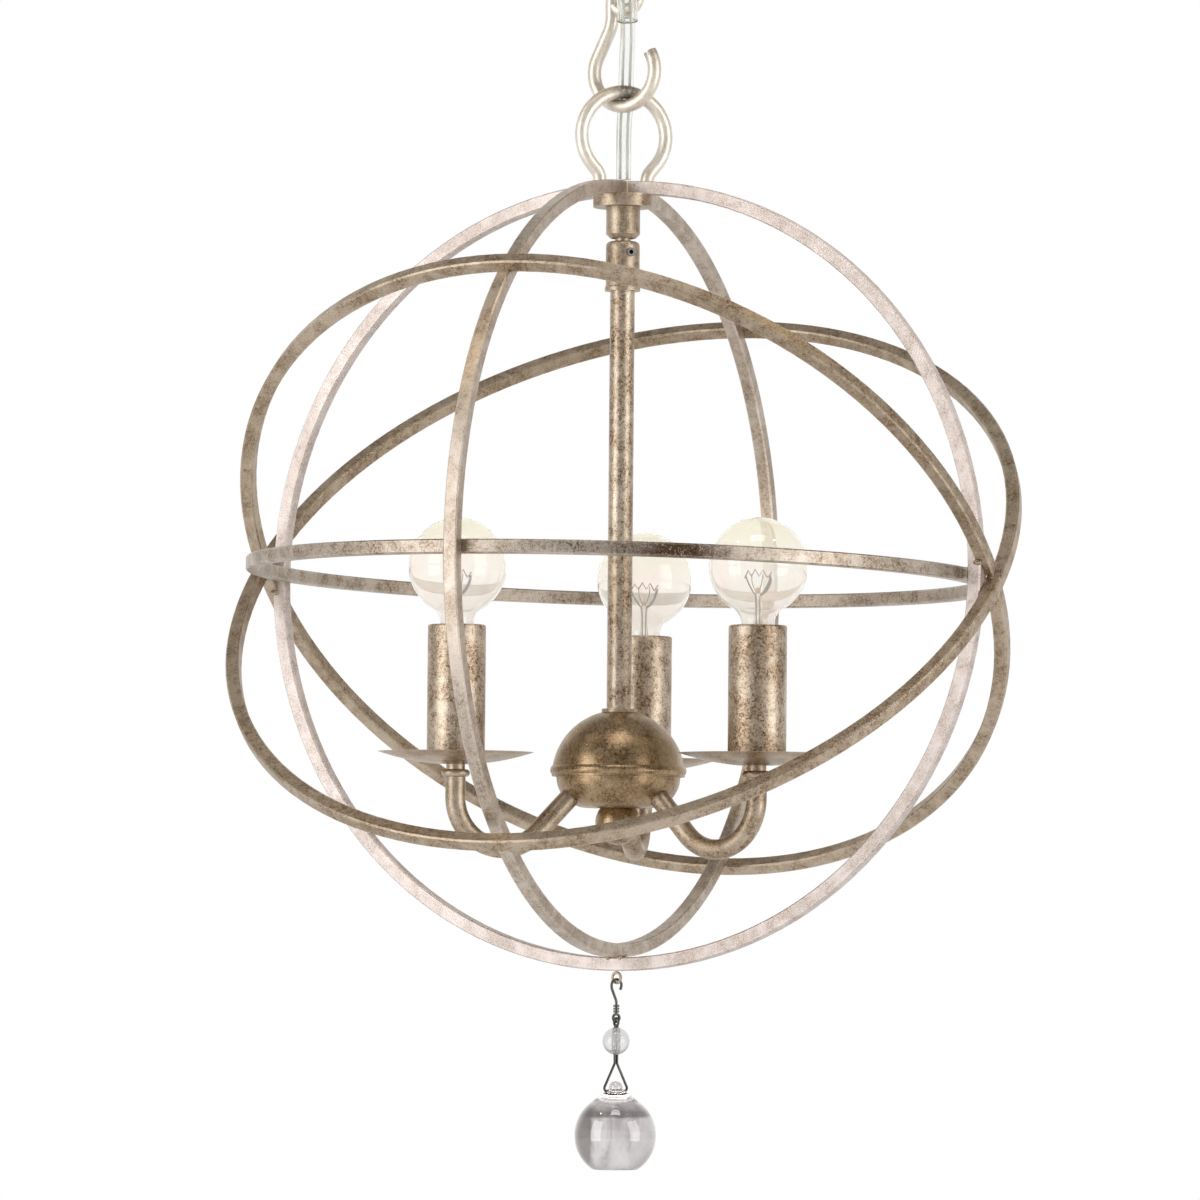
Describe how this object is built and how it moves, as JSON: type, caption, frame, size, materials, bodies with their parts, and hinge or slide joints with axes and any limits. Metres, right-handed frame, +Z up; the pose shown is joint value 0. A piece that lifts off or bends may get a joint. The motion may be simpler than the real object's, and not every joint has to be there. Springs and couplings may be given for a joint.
{
  "type": "mini chandelier",
  "caption": "Small round cage of welded bar rings on a hook, with a candle-style light cluster on a swivelling stem inside, a clear cord to a canopy and a crystal drop below.",
  "frame": {"origin": "centre of the mounting strap's upper face, at the ceiling", "axes": "+Z up; the upright outer ring lies in the XZ plane and -Y is the front"},
  "size_m": [0.4208, 0.3988, 0.6553],
  "materials": {
    "leaf": "aged silver leaf, satin",
    "pale_leaf": "aged silver leaf, brighter where handled",
    "plain_steel": "zinc plated",
    "clear_plastic": "clear, glossy",
    "clear_cord": "clear insulation over two stranded conductors",
    "socket_plastic": "smooth",
    "bulb_glass": "thin clear glass",
    "lamp_brass": "bright",
    "filament_wire": "thin wire on a glass stem",
    "drop_wire": "dark, bright at the bends",
    "crystal": "polished"
  },
  "bodies": {
    "ceiling_fitting": {"mounting_strap": "plain_steel", "threaded_nipple": "plain_steel", "strap_locknut": "plain_steel", "canopy": "leaf", "canopy_loop": "leaf", "loop_collar": "leaf", "cord_bushing": "clear_plastic"},
    "hook": {"hook": "pale_leaf", "power_cord": "clear_cord", "cord_sleeve": "clear_plastic"},
    "cage": {"suspension_loop": "pale_leaf", "top_hub": "pale_leaf", "ring_upright_outer": "leaf", "ring_upright_inner": "leaf", "ring_level": "leaf", "ring_tilted_inner": "leaf", "ring_tilted_outer": "leaf", "eyelet": "leaf", "swivel_cup": "leaf"},
    "cluster": {"swivel_ball": "leaf", "stem_coupling": "leaf", "set_screw": "plain_steel", "stem_tube": "leaf", "stem_collar": "leaf", "body_upper_shell": "leaf", "body_lower_shell": "leaf", "body_rod": "plain_steel", "arm_core": "plain_steel", "finial": "leaf", "arm_1": "leaf", "arm_2": "leaf", "arm_3": "leaf", "check_ring_1": "leaf", "check_ring_2": "leaf", "check_ring_3": "leaf", "dish_1": "leaf", "dish_2": "leaf", "dish_3": "leaf", "candle_sleeve_1": "leaf", "candle_sleeve_2": "leaf", "candle_sleeve_3": "leaf", "lamp_socket_1": "socket_plastic", "lamp_socket_2": "socket_plastic", "lamp_socket_3": "socket_plastic"},
    "bulb_1": {"bulb_glass_1": "bulb_glass", "bulb_base_1": "lamp_brass", "filament_1": "filament_wire"},
    "bulb_2": {"bulb_glass_2": "bulb_glass", "bulb_base_2": "lamp_brass", "filament_2": "filament_wire"},
    "bulb_3": {"bulb_glass_3": "bulb_glass", "bulb_base_3": "lamp_brass", "filament_3": "filament_wire"},
    "drop_hook": {"drop_hook": "drop_wire"},
    "bail": {"glass_bead": "crystal", "crystal_bail": "drop_wire"},
    "crystal": {"crystal_drop": "crystal"}
  },
  "joints": [
    {"name": "hook_swing", "type": "hinge", "parent": "ceiling_fitting", "child": "hook", "pos_m": [0, 0, -0.0509], "axis": [0.0523, 0.9986, 0], "range_deg": [-8, 8]},
    {"name": "cage_swing", "type": "hinge", "parent": "hook", "child": "cage", "pos_m": [0, 0, -0.1089], "axis": [0.9986, -0.0523, 0], "range_deg": [-8, 8]},
    {"name": "swivel_tilt", "type": "hinge", "parent": "cage", "child": "cluster", "pos_m": [0, 0, -0.1714], "axis": [0, 1, 0], "range_deg": [-5, 5]},
    {"name": "bulb_1_out", "type": "slide", "parent": "cluster", "child": "bulb_1", "axis": [0, 0, 1], "range_m": [0, 0.016]},
    {"name": "bulb_2_out", "type": "slide", "parent": "cluster", "child": "bulb_2", "axis": [0, 0, 1], "range_m": [0, 0.016]},
    {"name": "bulb_3_out", "type": "slide", "parent": "cluster", "child": "bulb_3", "axis": [0, 0, 1], "range_m": [0, 0.016]},
    {"name": "drop_swing", "type": "hinge", "parent": "cage", "child": "drop_hook", "pos_m": [0, 0, -0.56005], "axis": [0.9848, -0.1736, 0], "range_deg": [-12, 12]},
    {"name": "bail_swing", "type": "hinge", "parent": "drop_hook", "child": "bail", "pos_m": [0, 0, -0.5799], "axis": [0.5, 0.866, 0], "range_deg": [-12, 12]},
    {"name": "crystal_swing", "type": "hinge", "parent": "bail", "child": "crystal", "pos_m": [0, 0, -0.61535], "axis": [0.5, 0.866, 0], "range_deg": [-15, 15]}
  ]
}
